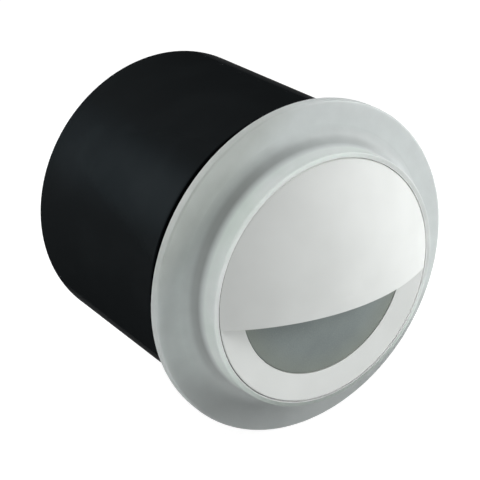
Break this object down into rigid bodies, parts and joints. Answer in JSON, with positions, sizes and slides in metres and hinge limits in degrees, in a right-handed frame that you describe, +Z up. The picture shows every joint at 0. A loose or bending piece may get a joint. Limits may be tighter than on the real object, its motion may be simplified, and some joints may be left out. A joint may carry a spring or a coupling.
{
  "type": "recessed step light",
  "caption": "Round recessed step light: black sleeve for a cut-out and a pull-out lamp with a frosted trim ring and a white half-closed eyelid over its window.",
  "frame": {"origin": "centre of the round cut-out in the wall's face, level with the back of the sleeve's lip", "axes": "+Y runs into the wall along the axis of the light, the front looks along -Y, +Z is up, so that the level edge of the eyelid faces down"},
  "size_m": [0.1, 0.0988, 0.1],
  "materials": {
    "sleeve_black": "satin black moulded plastic",
    "screw_steel": "plain stainless steel",
    "grommet_rubber": "matt black rubber",
    "gasket_rubber": "matt black rubber",
    "frosted_glass": "satin-frosted pale green-grey glass",
    "white_enamel": "fine-textured satin white powder coat on die-cast aluminium",
    "lens_frosted": "sand-blasted glass, grey while unlit",
    "housing_black": "black anodised look, satin",
    "spring_steel": "rolled spring steel",
    "sink_aluminium": "turned natural aluminium",
    "pad_grey": "matt silicone",
    "board_white": "white solder mask on an aluminium core",
    "chip_yellow": "matt phosphor",
    "reflector_white": "glossy white",
    "lead_red": "glossy insulation",
    "case_black": "matt black moulded plastic",
    "board_green": "glossy green solder mask",
    "ferrite": "dark grey ferrite",
    "winding_tape": "yellow winding tape",
    "can_sleeve": "dark shrunk sleeve",
    "terminal_green": "glossy green plastic",
    "gland_nylon": "matt black nylon"
  },
  "bodies": {
    "sleeve": {"mounting_sleeve": "sleeve_black", "sleeve_end_cap": "sleeve_black", "end_cap_screws": "screw_steel", "cable_grommet": "grommet_rubber"},
    "lamp": {"blade_spring_screws": "screw_steel", "blade_springs": "spring_steel", "capacitors": "can_sleeve", "case_screws": "screw_steel", "choke": "ferrite", "cover_screws": "screw_steel", "driver_board": "board_green", "driver_board_screws": "screw_steel", "driver_case": "case_black", "driver_lid": "case_black", "eyelid_cover": "white_enamel", "gland_body": "gland_nylon", "gland_nut": "gland_nylon", "gland_seal": "gasket_rubber", "glass_trim": "frosted_glass", "glass_washer": "gasket_rubber", "heat_sink": "sink_aluminium", "heat_sink_screws": "screw_steel", "lamp_housing": "housing_black", "led_board": "board_white", "led_board_screws": "screw_steel", "led_chips": "chip_yellow", "led_leads": "lead_red", "lens_seal": "gasket_rubber", "lid_screws": "screw_steel", "lid_seal": "gasket_rubber", "lock_nut": "gland_nylon", "reflector": "reflector_white", "terminal_block": "terminal_green", "terminal_screws": "screw_steel", "thermal_pad": "pad_grey", "transformer_core": "ferrite", "transformer_winding": "winding_tape", "wall_gasket": "gasket_rubber", "window_lens": "lens_frosted"}
  },
  "joints": [
    {"name": "lamp_pull", "type": "slide", "parent": "sleeve", "child": "lamp", "axis": [0, -1, 0], "range_m": [0, 0.066]}
  ]
}
